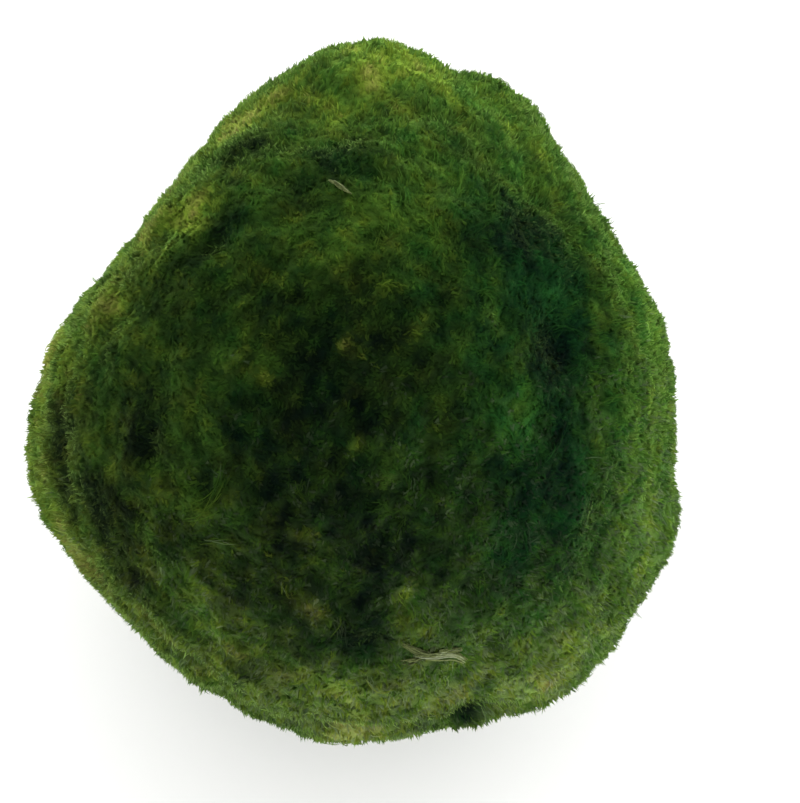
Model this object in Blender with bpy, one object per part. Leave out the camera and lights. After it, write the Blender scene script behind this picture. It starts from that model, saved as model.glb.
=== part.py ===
# Marimo moss ball: one lumpy ball of felted algae threads, resting on a flat spot that its
# own weight has pressed into the underside. Metres, +Z up, origin under the middle of its box.
from math import cos, pi, radians, sin, sqrt

import bmesh
import bpy
import numpy as np

# Driving dimensions, in metres
HALF_WIDTH = 0.0213  # along X, before the swellings
HALF_DEPTH = 0.0225  # along Y
HALF_HEIGHT = 0.0209  # along Z
MIDDLE = (0.00014, 0.00012, 0.0190)  # the ball's middle, above the flat that it rests on
GRID_CELLS = 28  # cells along each edge of the cube that is rounded to the ball

# Broad swellings, and hollows with a negative reach, that make the outline a rounded triangle:
# heading and rise of the place in degrees, reach in metres, spread in degrees
SWELLINGS = {
    "right flank": (-6, 13, 0.0006, 20),
    "right waist": (26, 25, -0.0016, 8),
    "right shoulder": (57, 34, 0.0017, 11),
    "far crown": (87, 37, 0.0025, 15),
    "left slope": (147, 27, -0.0037, 20),
    "left corner": (-162, 5, 0.0015, 17),
    "near foot": (-90, -13, 0.0012, 19),
    "near right corner": (-51, -8, 0.0028, 19),
    "right corner": (-28, 2, 0.0018, 11),
    "deep pocket": (-15, 50, -0.0012, 9),
    "upper pocket": (25, 53, -0.0008, 8),
    "far pocket": (98, 61, -0.0008, 8),
    "back swelling": (110, -15, 0.0010, 22),
    "back hollow": (60, -20, -0.0009, 16),
}

# The fold that runs along the near side, just under its widest part
FOLD_HEADINGS = (-114, -56)  # from and to, in degrees
FOLD_RISE = -3  # degrees
FOLD_WIDTH = 3.2  # degrees, half of it
FOLD_DEPTH = 0.0009

# Tufts: the threads stand together in low mounds all over the ball
TUFT_SPACING = 0.0033
TUFT_HEIGHT = 0.0008
TUFT_SPREAD = 0.68  # a mound's radius in spacings
TUFT_SEED = 5
PRESSED_RISES = (-64, -50)  # the mounds fade out between these rises, towards the flat

MOSS_GREEN = (0.035, 0.085, 0.014, 1.0)
MOSS_ROUGHNESS = 0.95


def clear_scene():
    for item in list(bpy.data.objects):
        bpy.data.objects.remove(item, do_unlink=True)


def heading_and_rise(heading, rise):
    """Unit vector at this heading round +Z from +X, and this rise above level, in degrees."""
    turn, lift = radians(heading), radians(rise)
    return np.array([cos(lift) * cos(turn), cos(lift) * sin(turn), sin(lift)])


def degrees_from(directions, centre):
    return np.degrees(np.arccos(np.clip(directions @ centre, -1, 1)))


def smooth_form(directions):
    """Radius of the ball without its tufts: an ellipsoid, plus a bell curve for each swelling."""
    halves = np.array([HALF_WIDTH, HALF_DEPTH, HALF_HEIGHT])
    radius = 1 / np.linalg.norm(directions / halves, axis=1)
    for heading, rise, reach, spread in SWELLINGS.values():
        away = degrees_from(directions, heading_and_rise(heading, rise))
        radius += reach * np.exp(-((away / spread) ** 2))
    return radius


def fold_depth(directions):
    """The fold is a groove at one rise, deepest in the middle of its run and fading at its ends."""
    heading = np.degrees(np.arctan2(directions[:, 1], directions[:, 0]))
    rise = np.degrees(np.arcsin(np.clip(directions[:, 2], -1, 1)))
    middle = sum(FOLD_HEADINGS) / 2
    half_run = (FOLD_HEADINGS[1] - FOLD_HEADINGS[0]) / 2
    along = np.clip(1 - ((heading - middle) / half_run) ** 2, 0, 1)
    return FOLD_DEPTH * np.sqrt(along) * np.exp(-(((rise - FOLD_RISE) / FOLD_WIDTH) ** 2))


def tuft_centres():
    """Points spread evenly over the sphere along a golden-angle spiral, then shaken a little."""
    mean_radius = (HALF_WIDTH + HALF_DEPTH + HALF_HEIGHT) / 3
    count = int(4 * pi * (mean_radius / TUFT_SPACING) ** 2)
    index = np.arange(count) + 0.5
    height = 1 - 2 * index / count
    turn = index * pi * (3 - sqrt(5))
    ring = np.sqrt(1 - height**2)
    centres = np.stack([ring * np.cos(turn), ring * np.sin(turn), height], axis=1)
    shake = np.random.default_rng(TUFT_SEED).normal(0, 0.3 * TUFT_SPACING / mean_radius, (count, 3))
    centres += shake
    return centres / np.linalg.norm(centres, axis=1)[:, None]


def tuft_height(directions):
    """Each tuft is a round mound of its own height, and where mounds meet the higher one shows."""
    centres = tuft_centres()
    heights = np.random.default_rng(TUFT_SEED + 1).uniform(0.45, 1.0, len(centres)) * TUFT_HEIGHT
    reach = TUFT_SPREAD * TUFT_SPACING * 3 / (HALF_WIDTH + HALF_DEPTH + HALF_HEIGHT)
    apart = np.arccos(np.clip(directions @ centres.T, -1, 1)) / reach
    mounds = heights * np.clip(1 - apart**2, 0, 1)
    return mounds.max(axis=1)


def standing(directions):
    """1 where the tufts stand freely, falling smoothly to 0 where the ball's weight presses."""
    rise = np.degrees(np.arcsin(np.clip(directions[:, 2], -1, 1)))
    share = np.clip((rise - PRESSED_RISES[0]) / (PRESSED_RISES[1] - PRESSED_RISES[0]), 0, 1)
    return share**2 * (3 - 2 * share)


def surface_radius(directions):
    valleys = TUFT_HEIGHT - tuft_height(directions)
    return smooth_form(directions) - fold_depth(directions) - valleys * standing(directions)


def cube_to_directions(points):
    """Rounds a cube's grid to the sphere with cells of nearly even size: each of the point's
    coordinates, from -1 to 1, is first turned into the tangent of that share of 45 degrees."""
    even = np.tan(points * pi / 4)
    return even / np.linalg.norm(even, axis=1)[:, None]


def moss_material():
    material = bpy.data.materials.new("moss")
    material.use_nodes = True
    shader = material.node_tree.nodes["Principled BSDF"]
    shader.inputs["Base Color"].default_value = MOSS_GREEN
    shader.inputs["Roughness"].default_value = MOSS_ROUGHNESS
    shader.inputs["Metallic"].default_value = 0.0
    material.diffuse_color = MOSS_GREEN
    return material


def cut_flat(mesh):
    """Cuts the ball off level at the ground and closes the cut with one flat face."""
    whole = mesh.verts[:] + mesh.edges[:] + mesh.faces[:]
    bmesh.ops.bisect_plane(
        mesh,
        geom=whole,
        dist=1e-6,
        plane_co=(0, 0, 0),
        plane_no=(0, 0, -1),
        clear_outer=True,
    )
    rim = [edge for edge in mesh.edges if edge.is_boundary]
    flat = bmesh.ops.contextual_create(mesh, geom=rim)["faces"]
    bmesh.ops.triangulate(mesh, faces=flat)


def make_moss_ball():
    mesh = bmesh.new()
    bmesh.ops.create_cube(mesh, size=2)
    bmesh.ops.subdivide_edges(mesh, edges=mesh.edges[:], cuts=GRID_CELLS - 1, use_grid_fill=True)
    directions = cube_to_directions(np.array([vertex.co[:] for vertex in mesh.verts]))
    places = directions * surface_radius(directions)[:, None] + np.array(MIDDLE)
    for vertex, place in zip(mesh.verts, places):
        vertex.co = place
    bmesh.ops.triangulate(mesh, faces=mesh.faces[:])
    cut_flat(mesh)
    bmesh.ops.recalc_face_normals(mesh, faces=mesh.faces[:])

    data = bpy.data.meshes.new("moss_ball")
    mesh.to_mesh(data)
    mesh.free()
    data.materials.append(moss_material())
    data.shade_smooth()
    data.set_sharp_from_angle(angle=radians(60))
    ball = bpy.data.objects.new("moss_ball", data)
    bpy.context.scene.collection.objects.link(ball)
    return ball


clear_scene()
make_moss_ball()
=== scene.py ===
from math import cos, pi, radians, sin, sqrt

import bpy
import numpy as np
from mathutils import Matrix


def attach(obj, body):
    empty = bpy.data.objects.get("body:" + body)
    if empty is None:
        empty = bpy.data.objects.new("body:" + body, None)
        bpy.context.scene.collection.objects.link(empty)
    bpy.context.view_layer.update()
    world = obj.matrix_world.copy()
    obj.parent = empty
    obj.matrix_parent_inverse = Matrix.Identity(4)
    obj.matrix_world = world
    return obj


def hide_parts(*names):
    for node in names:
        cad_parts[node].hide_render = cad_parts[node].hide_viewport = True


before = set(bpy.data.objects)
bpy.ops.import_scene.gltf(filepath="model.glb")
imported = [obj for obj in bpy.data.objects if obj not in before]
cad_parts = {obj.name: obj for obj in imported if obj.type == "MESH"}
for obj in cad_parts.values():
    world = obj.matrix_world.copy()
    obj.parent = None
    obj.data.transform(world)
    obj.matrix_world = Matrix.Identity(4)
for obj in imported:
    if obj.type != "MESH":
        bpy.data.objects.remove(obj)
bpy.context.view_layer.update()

# The ball's form, which everything else grows on. Sizes are in metres, headings round +Z from +X
# and rises above level in degrees.
ball = {
    "halves": (0.0213, 0.0225, 0.0209),  # half sizes along X, Y and Z before the swellings
    "middle": (0.00014, 0.00012, 0.0190),
    # broad swellings, and hollows with a negative reach: heading, rise, reach, spread in degrees
    "swellings": {
        "rightFlank": (-6, 13, 0.0006, 20),
        "rightWaist": (26, 25, -0.0016, 8),
        "rightShoulder": (57, 34, 0.0017, 11),
        "farCrown": (87, 37, 0.0025, 15),
        "leftSlope": (147, 27, -0.0037, 20),
        "leftCorner": (-162, 5, 0.0015, 17),
        "nearFoot": (-90, -13, 0.0012, 19),
        "nearRightCorner": (-51, -8, 0.0028, 19),
        "rightCorner": (-28, 2, 0.0018, 11),
        "deepPocket": (-15, 50, -0.0012, 9),
        "upperPocket": (25, 53, -0.0008, 8),
        "farPocket": (98, 61, -0.0008, 8),
        "backSwelling": (110, -15, 0.0010, 22),
        "backHollow": (60, -20, -0.0009, 16),
    },
}
middle = np.array(ball["middle"])
meanRadius = sum(ball["halves"]) / 3

# The fold along the near side, just under the ball's widest part
fold = {"headings": (-114, -56), "rise": -3, "width": 3.2, "depth": 0.0009}

# The low mounds in which the threads stand together
tufts = {
    "spacing": 0.0033,
    "height": 0.0008,
    "spread": 0.68,  # a mound's radius in spacings
    "shaken": 0.3,  # how far its place strays from an even spread, in spacings
    "heights": (0.45, 1.0),  # of single mounds, as shares of the height
    "seed": 5,
    "pressedRises": (-64, -50),  # the mounds fade out between these, towards the flat
    "felted": 0.4,  # share by which felting evens the mounds out
    "meanValley": 0.00038,  # how far the surface lies under the mounds' full height on average
}


tiny = 1e-6  # keeps a vector from having no length


def unit(vectors):
    return vectors / np.linalg.norm(vectors, axis=-1, keepdims=True)


# 0 below start, 1 above end, and smooth between: x * x * (3 - 2 * x).
def smooth(values, start, end):
    share = np.clip((values - start) / (end - start), 0, 1)
    return share**2 * (3 - 2 * share)


# The unit vector at a heading and a rise.
def headingAndRise(heading, rise):
    turn, lift = radians(heading), radians(rise)
    return np.array([cos(lift) * cos(turn), cos(lift) * sin(turn), sin(lift)])


def riseOf(directions):
    return np.degrees(np.arcsin(np.clip(directions[..., 2], -1, 1)))


def degreesFrom(directions, centre):
    return np.degrees(np.arccos(np.clip(directions @ centre, -1, 1)))


# exp(-(angle / width)^2), both in degrees, of the angle to the centre.
def bell(directions, centre, width):
    return np.exp(-((degreesFrom(directions, centre) / width) ** 2))


# The fold is a groove at one rise: sqrt(1 - x^2) along its run times exp(-(y / width)^2) across.
def foldShare(directions):
    heading = np.degrees(np.arctan2(directions[..., 1], directions[..., 0]))
    start, end = fold["headings"]
    along = np.clip(1 - ((heading - (start + end) / 2) / ((end - start) / 2)) ** 2, 0, 1)
    return np.sqrt(along) * np.exp(-(((riseOf(directions) - fold["rise"]) / fold["width"]) ** 2))


# Radius = an ellipsoid's, plus reach * exp(-(angle / spread)^2) for each swelling, less the fold.
def formRadius(directions):
    radius = 1 / np.linalg.norm(directions / np.array(ball["halves"]), axis=-1)
    for heading, rise, reach, spread in ball["swellings"].values():
        radius = radius + reach * bell(directions, headingAndRise(heading, rise), spread)
    return radius - fold["depth"] * foldShare(directions)


# Points spread evenly over the sphere along a golden-angle spiral, each shaken a little.
def spreadDirections(count, shake, random):
    index = np.arange(count) + 0.5
    height = 1 - 2 * index / count
    turn = index * pi * (3 - sqrt(5))
    ring = np.sqrt(1 - height**2)
    spiral = np.stack([ring * np.cos(turn), ring * np.sin(turn), height], axis=1)
    return unit(spiral + random.normal(0, shake, (count, 3)))


def countFor(spacing):
    return int(4 * pi * (meanRadius / spacing) ** 2)


tuftCentres = spreadDirections(
    countFor(tufts["spacing"]),
    tufts["shaken"] * tufts["spacing"] / meanRadius,
    np.random.default_rng(tufts["seed"]),
)
heightRandom = np.random.default_rng(tufts["seed"] + 1)
tuftHeights = heightRandom.uniform(*tufts["heights"], len(tuftCentres)) * tufts["height"]
batchSize = 20000  # directions that are worked out at a time, to spare memory


# Each mound is its height * (1 - (angle / reach)^2), where for such small angles angle^2 is
# 2 - 2 * cosine, and the highest mound shows.
def moundHeight(directions):
    reach = tufts["spread"] * tufts["spacing"] / meanRadius
    heights = []
    for batch in np.array_split(directions, len(directions) // batchSize + 1):
        apart = (2 - 2 * batch @ tuftCentres.T) / reach**2
        heights.append((tuftHeights * np.clip(1 - apart, 0, 1)).max(axis=1))
    return np.concatenate(heights)


# Smooth noise between -1 and 1: the sum of plane waves of about one wavelength (in radii) that
# cross the ball in scattered directions, scaled to a spread of one half. Each wave is 0.7 to 1.4
# times as fine as that wavelength.
def waves(directions, wavelength, seed, layers=14, finer=(0.7, 1.4)):
    random = np.random.default_rng(seed)
    heading = unit(random.normal(size=(layers, 3))) * 2 * pi / wavelength
    heading = heading * random.uniform(*finer, (layers, 1))
    phase = random.uniform(0, 2 * pi, layers)
    total = np.sin(directions @ heading.T + phase).sum(axis=-1)
    return np.clip(total / sqrt(layers / 2) / 2, -1, 1)


# The sum of noises, each given by how far it reaches and what waves takes.
def noiseSum(directions, noises):
    return sum(reach * waves(directions, *noise) for reach, *noise in noises)


# The camera, and where a pixel of the 800 x 803 picture lies on the ball
view = {
    "size": (800, 803),
    "elevation": 65.0,
    "lens": 60.0,
    "sensor": 36.0,
    "distance": 0.0914,
    "ballPixel": (360, 395),  # where the point that the camera circles shows
    "circled": (0.00035, -0.00015, 0.01995),
    "moundsUnder": 0.0004,  # how far the mounds lie under the ball's form on average
    "nearest": 0.001,
    "raySteps": 1800,
    "rayEnds": (0.4, 1.3),  # shares of the distance
}
pixelsPerRadian = view["lens"] / view["sensor"] * max(view["size"])
pixelSize = view["distance"] / pixelsPerRadian  # metres at the ball


# The camera's three axes: right, up in the picture, and back towards the camera.
def cameraAxes():
    lift = radians(view["elevation"])
    back = np.array([0, -cos(lift), sin(lift)])
    return np.array([1.0, 0, 0]), np.array([0, sin(lift), cos(lift)]), back


# The camera stands at distance back from the circled point, and slides sideways by the pixels
# between that point's place in the picture and the picture's middle.
def cameraPlace():
    right, up, back = cameraAxes()
    x = (view["size"][0] / 2 - view["ballPixel"][0]) * pixelSize
    y = (view["ballPixel"][1] - view["size"][1] / 2) * pixelSize
    return np.array(view["circled"]) + back * view["distance"] + right * x + up * y


def makeCamera():
    camera = bpy.data.cameras.new("camera")
    camera.lens = view["lens"]
    camera.sensor_width = view["sensor"]
    camera.clip_start = view["nearest"]
    made = bpy.data.objects.new("camera", camera)
    made.location = cameraPlace()
    made.rotation_euler = (radians(90 - view["elevation"]), 0, 0)
    bpy.context.scene.collection.objects.link(made)
    bpy.context.scene.camera = made


# Directions from the ball's middle of what these pixels show: along each pixel's ray, the first
# of many even steps that lies inside the mounds' mean height, or else the step that comes closest.
def pixelDirections(pixels):
    pixels = np.array(pixels, float)
    right, up, back = cameraAxes()
    x = (pixels[:, 0] - view["size"][0] / 2) / pixelsPerRadian
    y = (view["size"][1] / 2 - pixels[:, 1]) / pixelsPerRadian
    rays = x[:, None] * right + y[:, None] * up - back
    steps = np.linspace(*view["rayEnds"], view["raySteps"]) * view["distance"]
    points = cameraPlace() + rays[:, None, :] * steps[None, :, None] - middle
    reach = np.linalg.norm(points, axis=-1)
    inside = reach < formRadius(unit(points)) - view["moundsUnder"]
    first = np.where(inside.any(axis=1), inside.argmax(axis=1), reach.argmin(axis=1))
    return unit(points[np.arange(len(pixels)), first])


# The directions of the places in a table whose rows start with a pixel.
def waysOf(table):
    return pixelDirections([row[:2] for row in table.values()])


def pixelsToDegrees(pixels):
    return np.degrees(pixels * pixelSize / meanRadius)


# For each row of such a table, whose third number is a radius in pixels: its bell at the
# directions, and the rest of the row.
def bells(directions, ways, table):
    for way, (x, y, radius, *rest) in zip(ways, table.values()):
        yield bell(directions, way, pixelsToDegrees(radius)), rest


makeCamera()
print("camera: done")

# Small pits between the tufts: pixel x, y, radius in pixels, depth in metres
dimples = {
    "darkPit": (472, 709, 13, 0.0008),
    "besideFold": (455, 714, 8, 0.0005),
    "leftPit": (147, 452, 12, 0.0006),
    "leftPitAbove": (150, 432, 10, 0.0004),
    "swirlPit": (205, 478, 13, 0.0006),
    "crownPit": (300, 293, 11, 0.0004),
    "crownPitRight": (326, 289, 9, 0.0004),
    "leftSlopePit": (207, 245, 11, 0.0004),
    "farPit": (404, 155, 9, 0.0004),
    "farLeftPit": (232, 160, 9, 0.0002),
    "hollowPit": (524, 236, 20, 0.0001),
    "deepPit": (557, 348, 18, 0.0002),
    "rightPit": (505, 319, 9, 0.0004),
    "lowPitLeft": (383, 535, 10, 0.0003),
    "lowPitRight": (415, 533, 10, 0.0003),
    "lowPitAbove": (431, 478, 11, 0.0004),
    "nearPitLeft": (370, 588, 14, 0.0003),
    "nearPitRight": (474, 588, 13, 0.0005),
    "nearPitLow": (372, 645, 13, 0.0004),
    "lowerRightPit": (536, 580, 10, 0.0004),
    "slatePit": (310, 582, 16, 0.0004),
    "paleStrandPit": (205, 553, 12, 0.0004),
}
dimpleWays = waysOf(dimples)


# Depth = the sum over the dimples of depth * exp(-(angle / radius)^2).
def dimpleDepth(directions):
    depth = np.zeros(len(directions))
    for share, (reach,) in bells(directions, dimpleWays, dimples):
        depth += reach * share
    return depth


# Where the mounds are matted down more than elsewhere: a pixel, a radius in pixels, and how much
matted = {
    "farRight": (522, 238, 50, 0.6),
    "deepRight": (552, 356, 50, 0.6),
    "lowLeft": (98, 505, 42, 0.6),
    "farLeft": (230, 160, 34, 0.5),
}
mattedWays = waysOf(matted)


# Felting = the share that it has everywhere, plus more * exp(-(angle / radius)^2) where matted.
def felting(directions):
    felted = np.full(len(directions), tufts["felted"])
    for share, (more,) in bells(directions, mattedWays, matted):
        felted += more * share
    return np.minimum(felted, 1)


# Radius = the form's, less how far the mounds stay under their full height where they stand
# freely, less the dimples. Felting draws that depth towards its mean.
def surfaceRadius(directions):
    standing = smooth(riseOf(directions), *tufts["pressedRises"])
    valley = tufts["height"] - moundHeight(directions)
    valley = valley + felting(directions) * (tufts["meanValley"] - valley)
    return formRadius(directions) - valley * standing - dimpleDepth(directions)


# Hue 0 is blue-green, 0.25 deep green, 0.5 leaf green, 0.7 yellow-green, 0.85 straw and 1 tan.
# Light 0 is black and 1 the brightest. Each noise is how far it shifts them, its wavelength in
# radii, its seed and, where there are more than usual, the number of its waves.
tone = {
    "hue": 0.485,
    "light": 0.63,
    "yellowest": 0.87,
    "brightest": 0.88,
    "crownPixel": (330, 430),  # where the middle of the dark crown shows
    # painted shade that darkens the crown
    "crownPaintedShade": 0.41,
    "crownHue": -0.04,
    "contrast": 0.85,  # how much single threads differ from each other away from the crown
    "crownSoft": 0.70,  # how much less they differ on it
    "crownSpread": 51.0,  # degrees
    "yellowWay": (-150, 5),  # heading and rise of the yellower side
    "yellower": 0.10,
    # painted shade in the fold
    "foldPaintedShade": 0.05,
    # painted shade in the dimples, growing with their depth
    "dimplePaintedShade": 120.0,  # for each metre of a dimple's depth
    "hueNoise": [(0.05, 0.7, 31), (0.09, 0.22, 32), (0.12, 0.10, 35), (0.08, 0.05, 38, 20)],
    "lightNoise": [(0.03, 0.5, 33), (0.06, 0.17, 34), (0.10, 0.08, 36), (0.09, 0.04, 37, 20)],
}

# Where the moss has another tone than around, and where light and shade are painted on: a pixel,
# a radius in pixels, and how far hue and light shift there. The bright banks along the rim are
# painted light, and the dark patches in the hollows and pits are painted shade
patches = {
    # the banks along the rim, whose bright patches are painted light
    "leftEdgeHigh": (50, 346, 24, 0.44, 0.28),
    "leftShade": (94, 384, 22, -0.04, -0.1),
    "leftDark": (58, 426, 34, 0.02, -0.46),
    "leftEdge": (38, 474, 18, 0.26, -0.04),
    "leftEdgeLow": (64, 498, 24, 0.02, -0.34),
    "leftInnerEdge": (56, 462, 22, 0, -0.14),
    "leftStreak": (94, 448, 18, 0.04, 0.08),
    "leftBand": (102, 508, 34, -0.02, -0.4),
    "lowLeftBand": (130, 578, 34, -0.02, -0.24),
    "lowLeftDark": (100, 580, 22, 0.04, -0.2),
    "swirlUnder": (182, 544, 18, 0, -0.1),
    "lowLeftEdge": (70, 552, 28, 0.5, 0.1),
    "lowLeftEdgeNear": (106, 592, 24, 0.16, 0),
    "lowLeftYellow": (148, 618, 22, 0.22, 0),
    "bankLight": (184, 584, 26, 0.06, 0.16),
    "lowLeftBank": (218, 626, 32, 0.06, 0.17),
    "lowLeftInner": (242, 584, 26, 0, -0.06),
    "nearLeftBank": (252, 670, 30, 0.16, -0.08),
    "nearLeftShade": (300, 662, 22, 0, -0.06),
    "lowLeftLight": (182, 616, 22, 0, 0.1),
    "bottomEdge": (350, 736, 40, 0.28, 0.2),
    "bottomBand": (340, 698, 36, 0.16, 0.28),
    "bottomMiddle": (424, 702, 32, 0.16, 0.22),
    "bottomDark": (467, 711, 18, -0.25, -0.46),
    "bottomDot": (325, 726, 10, -0.1, -0.24),
    "bottomLeft": (264, 702, 24, 0.1, 0.07),
    "bottomRight": (536, 692, 54, 0.24, 0.22),
    "nearRightBank": (470, 660, 30, 0.04, 0.24),
    "nearRightLow": (500, 622, 24, 0, 0.1),
    "lowRightBank": (596, 640, 44, 0.04, 0.05),
    "rightEdge": (650, 440, 50, 0, 0.14),
    "rightInner": (620, 420, 24, 0, 0.08),
    "rightEdgeLow": (654, 534, 48, 0.06, 0.22),
    "rightInnerLow": (620, 540, 22, 0, -0.06),
    "rightBank": (646, 306, 36, 0.02, 0.19),
    "rightBankEdge": (658, 338, 22, 0, 0.2),
    "rightBankFar": (624, 262, 26, 0, 0.16),
    "rightShade": (620, 346, 20, -0.1, -0.06),
    "rightPale": (618, 380, 22, 0, 0.08),
    "rightShadeFar": (580, 262, 22, 0, -0.1),
    "topRightRidge": (486, 100, 38, 0, 0.14),
    "topRidge": (402, 58, 44, 0.3, 0.24),
    "topMiddle": (340, 102, 28, 0.22, 0.18),
    "topLeftMiddle": (300, 140, 20, 0, 0.06),
    "topShade": (380, 102, 22, 0, -0.08),
    "topLeftShade": (302, 100, 20, 0, -0.13),
    "topLeftRidge": (256, 106, 30, 0.4, 0.1),
    "topLeftSlope": (176, 182, 22, 0.48, -0.22),
    "edgeYellowFar": (226, 130, 22, 0.32, 0.08),
    "edgeYellow": (196, 160, 22, 0.4, 0.08),
    "edgeYellowNear": (150, 222, 24, 0.38, 0.12),
    "yellowSlope": (186, 212, 32, 0.24, 0.36),
    "slopeUnder": (180, 262, 22, -0.04, -0.08),
    "slopeInner": (222, 264, 22, 0, 0.12),
    "yellowEdge": (100, 304, 34, 0.38, 0.08),
    "yellowShoulder": (140, 262, 26, 0.02, -0.14),
    "shoulderGreen": (142, 304, 24, -0.12, -0.02),
    "leftHighLight": (140, 342, 24, 0, 0.1),
    # the slopes and hollows between rim and crown, with painted shade in the hollows
    "greenSide": (510, 330, 100, -0.22, 0.09),
    "greenSideLow": (556, 530, 74, -0.32, 0.08),
    "greenSideLeft": (216, 440, 60, -0.16, 0.06),
    "farLeftDark": (246, 142, 28, -0.18, -0.33),
    "slopeDark": (224, 222, 22, -0.26, -0.28),
    "slopeShade": (220, 184, 20, 0, -0.06),
    "farLeftSlope": (262, 222, 26, 0, 0.14),
    "farSlope": (340, 222, 54, 0.02, 0.18),
    "farCrest": (416, 212, 36, 0, 0.22),
    "farTuft": (460, 180, 24, 0, 0.14),
    "farTop": (420, 140, 26, 0, 0.12),
    "farRightShade": (462, 142, 22, -0.04, -0.14),
    "farLeftShade": (300, 184, 26, -0.16, -0.18),
    "farLeftPale": (258, 184, 20, 0, 0.12),
    "innerLeftDark": (262, 300, 26, -0.1, -0.06),
    "innerGreen": (342, 316, 34, -0.1, 0.01),
    "crestDark": (380, 260, 20, -0.12, -0.08),
    "crestLeft": (340, 258, 20, 0, 0.08),
    "hollowLeft": (500, 258, 20, 0, -0.05),
    "innerRightPale": (500, 296, 18, 0, 0.08),
    "farHollow": (340, 152, 26, -0.28, -0.28),
    "farRightHollow": (528, 228, 46, -0.36, -0.3),
    "hollowShoulder": (578, 224, 20, -0.06, -0.1),
    "hollowBand": (542, 262, 44, -0.32, -0.02),
    "rightHollow": (560, 300, 26, -0.14, 0.1),
    "deepHollow": (558, 346, 32, -0.36, -0.32),
    "underDeep": (544, 380, 22, -0.18, -0.12),
    "tealSlope": (514, 416, 32, -0.04, 0.3),
    "midRightDark": (506, 464, 22, -0.06, -0.08),
    "lowRightLight": (500, 544, 20, 0.08, 0.12),
    "lowRightSpot": (500, 582, 20, -0.04, 0.08),
    "rightDark": (570, 430, 34, -0.2, -0.08),
    "lowRightDark": (552, 492, 36, -0.16, -0.15),
    "lowRightPale": (540, 622, 22, -0.08, 0.18),
    "lowRightShade": (544, 580, 28, 0, -0.06),
    "brownLeft": (138, 434, 30, 0.02, -0.2),
    "leftMidLight": (190, 340, 40, 0, 0.06),
    "leftInnerLight": (256, 342, 26, 0, 0.12),
    "leftInnerBeside": (220, 340, 22, 0, 0.08),
    "leftLowLight": (186, 424, 22, 0, 0.05),
    "leftMidLow": (218, 514, 34, -0.02, 0.08),
    "swirlA": (222, 440, 7, 0, 0.07),
    "swirlB": (224, 459, 7, 0, 0.08),
    "swirlC": (220, 478, 7, 0, 0.08),
    "swirlD": (211, 496, 7, 0, 0.1),
    "swirlE": (197, 509, 8, 0, 0.1),
    "swirlF": (180, 515, 8, 0, 0.08),
    # the crown
    "crownRight": (406, 456, 44, 0, 0.18),
    "crownTop": (380, 340, 22, 0, -0.1),
    "crownTopRight": (424, 344, 20, 0, 0.05),
    "crownLeft": (300, 460, 24, 0, 0.1),
    "crownOlive": (342, 420, 24, 0.08, -0.04),
    "crownLight": (380, 384, 20, 0, 0.12),
    "crownSpot": (380, 422, 18, -0.1, -0.14),
    "crownLow": (406, 534, 26, 0, -0.06),
    "crownLowDot": (340, 462, 18, -0.08, -0.06),
    "crownDarkHigh": (316, 378, 34, 0, -0.08),
    "crownDarkLeft": (262, 456, 26, 0, -0.1),
    "crownDarkLow": (266, 532, 30, 0, -0.1),
    "tanAround": (298, 542, 18, 0.1, 0.06),
    "lowDark": (345, 520, 34, -0.06, -0.08),
    "nearPitLight": (342, 582, 20, 0, 0.14),
    "nearPitPale": (420, 584, 18, 0, 0.08),
    "nearPitDark": (382, 580, 22, -0.18, -0.14),
    "lowDarkNear": (362, 642, 30, -0.2, -0.08),
    "nearLight": (424, 622, 24, 0.04, 0.24),
    "nearFibre": (402, 664, 26, 0.02, 0.09),
    "nearRightLight": (464, 624, 24, -0.02, 0.1),
    # small spots
    "tanStreakLeft": (297, 535, 5, 0.28, 0.12),
    "tanStreakRight": (312, 536, 5, 0.28, 0.1),
    "tanSpot": (309, 613, 7, 0.26, 0.12),
    "yellowBelowTan": (321, 617, 9, 0.26, 0.18),
    "slatePatch": (310, 582, 20, -0.08, 0.02),
    "yellowSpot": (406, 599, 9, 0.3, 0.2),
    "yellowLower": (430, 626, 14, 0.12, 0.04),
    "yellowFold": (398, 687, 9, 0.2, 0.08),
    "paleTuftLeft": (384, 286, 8, 0.14, 0.12),
    "paleTuftRight": (402, 286, 8, 0.14, 0.12),
    "yellowDotLeft": (263, 378, 7, 0.28, 0.22),
    "yellowDotUp": (341, 344, 7, 0.28, 0.26),
    "yellowDotLow": (356, 447, 8, 0.22, 0.2),
    "oliveTuft": (421, 332, 14, 0.2, 0.12),
    "lightTuft": (332, 252, 12, 0.1, 0.08),
    "yellowTuft": (278, 278, 12, 0.16, 0.12),
}
patchWays = waysOf(patches)
crownWay = pixelDirections([tone["crownPixel"]])[0]


# Share of the crown, where shade is painted: exp(-(angle / spread)^3).
def crownShare(directions):
    return np.exp(-((degreesFrom(directions, crownWay) / tone["crownSpread"]) ** 3))


# How much the threads of a place differ from each other: less on the crown, where they are soft.
def softened(directions):
    return tone["contrast"] - tone["crownSoft"] * crownShare(directions)


# 1 where the contrast is 1, and in a straight line to another value where it is 0.
def eased(contrast, soft):
    return soft + (1 - soft) * contrast


# Hue and light of a place on the ball, before each thread's own small difference: painted shade on
# the crown, a yellower side, noise of several sizes, painted shade in the fold and the dimples, and
# the sum over the patches of their shift * exp(-(angle / radius)^2), which paint light on the rim
# banks and shade in the hollows, up to a ceiling.
def placeTone(directions):
    crown = crownShare(directions)
    hue = tone["hue"] + tone["crownHue"] * crown + noiseSum(directions, tone["hueNoise"])
    hue += tone["yellower"] * (directions @ headingAndRise(*tone["yellowWay"]))
    light = tone["light"] - tone["crownPaintedShade"] * crown + noiseSum(directions, tone["lightNoise"])
    light -= tone["foldPaintedShade"] * foldShare(directions)
    light -= tone["dimplePaintedShade"] * dimpleDepth(directions)
    for share, (hueShift, lightShift) in bells(directions, patchWays, patches):
        hue += hueShift * share
        light += lightShift * share
    return np.minimum(hue, tone["yellowest"]), np.minimum(light, tone["brightest"])


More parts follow.
